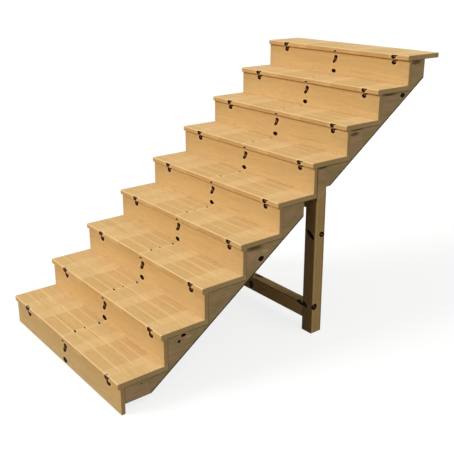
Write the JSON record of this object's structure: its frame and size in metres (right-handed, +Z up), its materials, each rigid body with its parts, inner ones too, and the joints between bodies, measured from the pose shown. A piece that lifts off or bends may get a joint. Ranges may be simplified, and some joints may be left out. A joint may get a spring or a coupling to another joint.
{
  "type": "wooden garden stair with a post trestle",
  "caption": "Straight outdoor stair of pine boards with closed risers, cut stringers in two flights and a two-post trestle under the upper flight.",
  "frame": {"origin": "on the ground, at the middle of the whole stair's plan", "axes": "+X across the steps, to the right for someone climbing; +Y along the climb; +Z up"},
  "size_m": [1.2, 2.258, 1.539],
  "materials": {
    "step_pine": "planed, oiled, satin",
    "stringer_pine": "planed, oiled, satin",
    "trestle_pine": "planed, oiled, satin"
  },
  "bodies": {
    "root": {"tread_1": "step_pine", "tread_2": "step_pine", "tread_3": "step_pine", "tread_4": "step_pine", "tread_5": "step_pine", "tread_6": "step_pine", "tread_7": "step_pine", "tread_8": "step_pine", "tread_9": "step_pine", "riser_1": "step_pine", "riser_2": "step_pine", "riser_3": "step_pine", "riser_4": "step_pine", "riser_5": "step_pine", "riser_6": "step_pine", "riser_7": "step_pine", "riser_8": "step_pine", "riser_9": "step_pine", "lower_stringer_left": "stringer_pine", "lower_stringer_right": "stringer_pine", "upper_stringer_left": "stringer_pine", "upper_stringer_right": "stringer_pine", "post_left": "trestle_pine", "post_right": "trestle_pine", "lower_cross_rail": "trestle_pine", "upper_cross_rail": "trestle_pine"}
  },
  "joints": []
}
